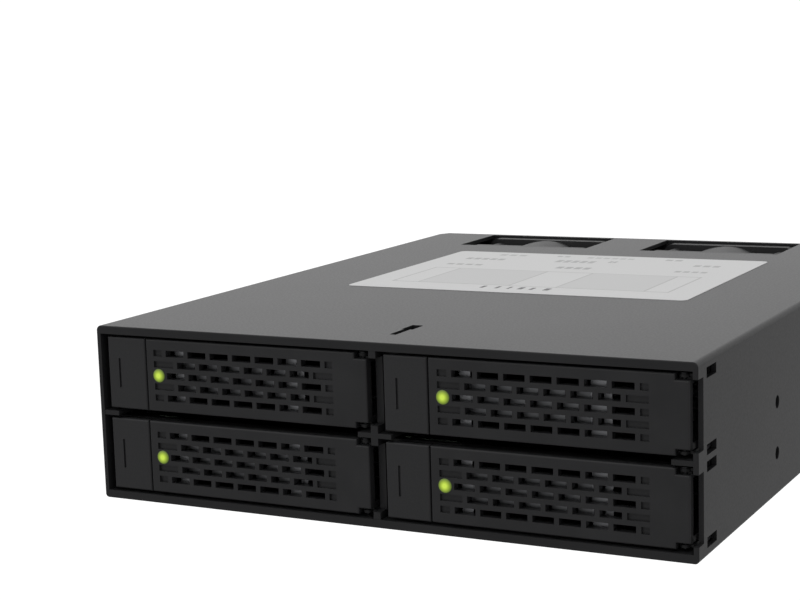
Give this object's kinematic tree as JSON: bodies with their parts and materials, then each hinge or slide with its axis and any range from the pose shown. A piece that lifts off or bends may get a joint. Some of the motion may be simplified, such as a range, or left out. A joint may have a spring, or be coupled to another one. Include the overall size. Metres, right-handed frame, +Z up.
{
  "type": "hot swap drive cage",
  "caption": "Black steel drive cage for a half-height front bay, with hinged-lever trays on a shelf and cooling fans behind.",
  "frame": {"origin": "middle of the underside, halfway between the front and rear edges", "axes": "+Z up, +Y towards the rear, so the trays face -Y; +X to the right as seen from the front"},
  "size_m": [0.146, 0.184, 0.0414],
  "materials": {
    "shell_paint": "matte powder coat",
    "lever_paint": "matte",
    "latch_paint": "matte",
    "tray_steel": "satin",
    "tray_alloy": "satin, its inner grille bare",
    "pin_steel": "bright",
    "clear_guide": "clear",
    "lit_lens": "clear, lit green",
    "board": "solder mask",
    "connector_plastic": "moulded",
    "label": "paper",
    "lead": "sleeved",
    "zinc": "zinc plated",
    "black_screw": "black zinc",
    "fan_plastic": "moulded",
    "rotor_plastic": "moulded",
    "knob_plastic": "moulded"
  },
  "bodies": {
    "cage": {"outer_shell": "shell_paint", "bottom_plate": "shell_paint", "centre_wall": "shell_paint", "bay_shelf": "shell_paint", "rear_panel": "shell_paint", "backplane_board": "board", "rear_board": "board", "board_header": "connector_plastic", "power_port": "connector_plastic", "speed_switch": "connector_plastic", "rating_label": "label", "fan_leads": "lead", "board_screws": "zinc", "case_screws": "black_screw", "fan_screws": "black_screw", "fan_frame_left": "fan_plastic", "fan_frame_right": "fan_plastic", "data_port_1": "connector_plastic", "data_port_2": "connector_plastic", "data_port_3": "connector_plastic", "data_port_4": "connector_plastic", "drive_socket_upper_left": "connector_plastic", "drive_socket_upper_right": "connector_plastic", "drive_socket_lower_left": "connector_plastic", "drive_socket_lower_right": "connector_plastic"},
    "fan_rotor_left": {"fan_rotor_left": "rotor_plastic"},
    "fan_rotor_right": {"fan_rotor_right": "rotor_plastic"},
    "speed_knob": {"speed_knob": "knob_plastic"},
    "tray_upper_left": {"tray_pan_upper_left": "tray_steel", "tray_bracket_upper_left": "tray_alloy", "hinge_pin_upper_left": "black_screw", "light_guide_upper_left": "clear_guide"},
    "door_upper_left": {"door_lever_upper_left": "lever_paint", "status_lens_upper_left": "lit_lens", "latch_spring_upper_left": "pin_steel"},
    "latch_upper_left": {"latch_button_upper_left": "latch_paint"},
    "tray_upper_right": {"tray_pan_upper_right": "tray_steel", "tray_bracket_upper_right": "tray_alloy", "hinge_pin_upper_right": "black_screw", "light_guide_upper_right": "clear_guide"},
    "door_upper_right": {"door_lever_upper_right": "lever_paint", "status_lens_upper_right": "lit_lens", "latch_spring_upper_right": "pin_steel"},
    "latch_upper_right": {"latch_button_upper_right": "latch_paint"},
    "tray_lower_left": {"tray_pan_lower_left": "tray_steel", "tray_bracket_lower_left": "tray_alloy", "hinge_pin_lower_left": "black_screw", "light_guide_lower_left": "clear_guide"},
    "door_lower_left": {"door_lever_lower_left": "lever_paint", "status_lens_lower_left": "lit_lens", "latch_spring_lower_left": "pin_steel"},
    "latch_lower_left": {"latch_button_lower_left": "latch_paint"},
    "tray_lower_right": {"tray_pan_lower_right": "tray_steel", "tray_bracket_lower_right": "tray_alloy", "hinge_pin_lower_right": "black_screw", "light_guide_lower_right": "clear_guide"},
    "door_lower_right": {"door_lever_lower_right": "lever_paint", "status_lens_lower_right": "lit_lens", "latch_spring_lower_right": "pin_steel"},
    "latch_lower_right": {"latch_button_lower_right": "latch_paint"}
  },
  "joints": [
    {"name": "fan_spin_left", "type": "hinge", "parent": "cage", "child": "fan_rotor_left", "pos_m": [-0.0333, 0.0794, 0.02065], "axis": [0, 1, 0], "continuous": true},
    {"name": "fan_spin_right", "type": "hinge", "parent": "cage", "child": "fan_rotor_right", "pos_m": [0.0242, 0.0794, 0.02065], "axis": [0, 1, 0], "continuous": true},
    {"name": "speed_switch_slide", "type": "slide", "parent": "cage", "child": "speed_knob", "axis": [1, 0, 0], "range_m": [-0.002, 0.002]},
    {"name": "tray_slide_upper_left", "type": "slide", "parent": "cage", "child": "tray_upper_left", "axis": [0, -1, 0], "range_m": [0, 0.112]},
    {"name": "door_swing_upper_left", "type": "hinge", "parent": "tray_upper_left", "child": "door_upper_left", "pos_m": [-0.00328, -0.0897, 0.0303], "axis": [0, 0, 1], "range_deg": [0, 90]},
    {"name": "latch_press_upper_left", "type": "hinge", "parent": "door_upper_left", "child": "latch_upper_left", "pos_m": [-0.06098, -0.089, 0.0303], "axis": [0, 0, -1], "range_deg": [0, 6], "stiffness_Nm_per_rad": 0.02, "deforming": ["latch_spring_upper_left"]},
    {"name": "tray_slide_upper_right", "type": "slide", "parent": "cage", "child": "tray_upper_right", "axis": [0, -1, 0], "range_m": [0, 0.112]},
    {"name": "door_swing_upper_right", "type": "hinge", "parent": "tray_upper_right", "child": "door_upper_right", "pos_m": [0.06947, -0.0897, 0.0303], "axis": [0, 0, 1], "range_deg": [0, 90]},
    {"name": "latch_press_upper_right", "type": "hinge", "parent": "door_upper_right", "child": "latch_upper_right", "pos_m": [0.01178, -0.089, 0.0303], "axis": [0, 0, -1], "range_deg": [0, 6], "stiffness_Nm_per_rad": 0.02, "deforming": ["latch_spring_upper_right"]},
    {"name": "tray_slide_lower_left", "type": "slide", "parent": "cage", "child": "tray_lower_left", "axis": [0, -1, 0], "range_m": [0, 0.112]},
    {"name": "door_swing_lower_left", "type": "hinge", "parent": "tray_lower_left", "child": "door_lower_left", "pos_m": [-0.00328, -0.0897, 0.011], "axis": [0, 0, 1], "range_deg": [0, 90]},
    {"name": "latch_press_lower_left", "type": "hinge", "parent": "door_lower_left", "child": "latch_lower_left", "pos_m": [-0.06098, -0.089, 0.011], "axis": [0, 0, -1], "range_deg": [0, 6], "stiffness_Nm_per_rad": 0.02, "deforming": ["latch_spring_lower_left"]},
    {"name": "tray_slide_lower_right", "type": "slide", "parent": "cage", "child": "tray_lower_right", "axis": [0, -1, 0], "range_m": [0, 0.112]},
    {"name": "door_swing_lower_right", "type": "hinge", "parent": "tray_lower_right", "child": "door_lower_right", "pos_m": [0.06947, -0.0897, 0.011], "axis": [0, 0, 1], "range_deg": [0, 90]},
    {"name": "latch_press_lower_right", "type": "hinge", "parent": "door_lower_right", "child": "latch_lower_right", "pos_m": [0.01178, -0.089, 0.011], "axis": [0, 0, -1], "range_deg": [0, 6], "stiffness_Nm_per_rad": 0.02, "deforming": ["latch_spring_lower_right"]}
  ]
}
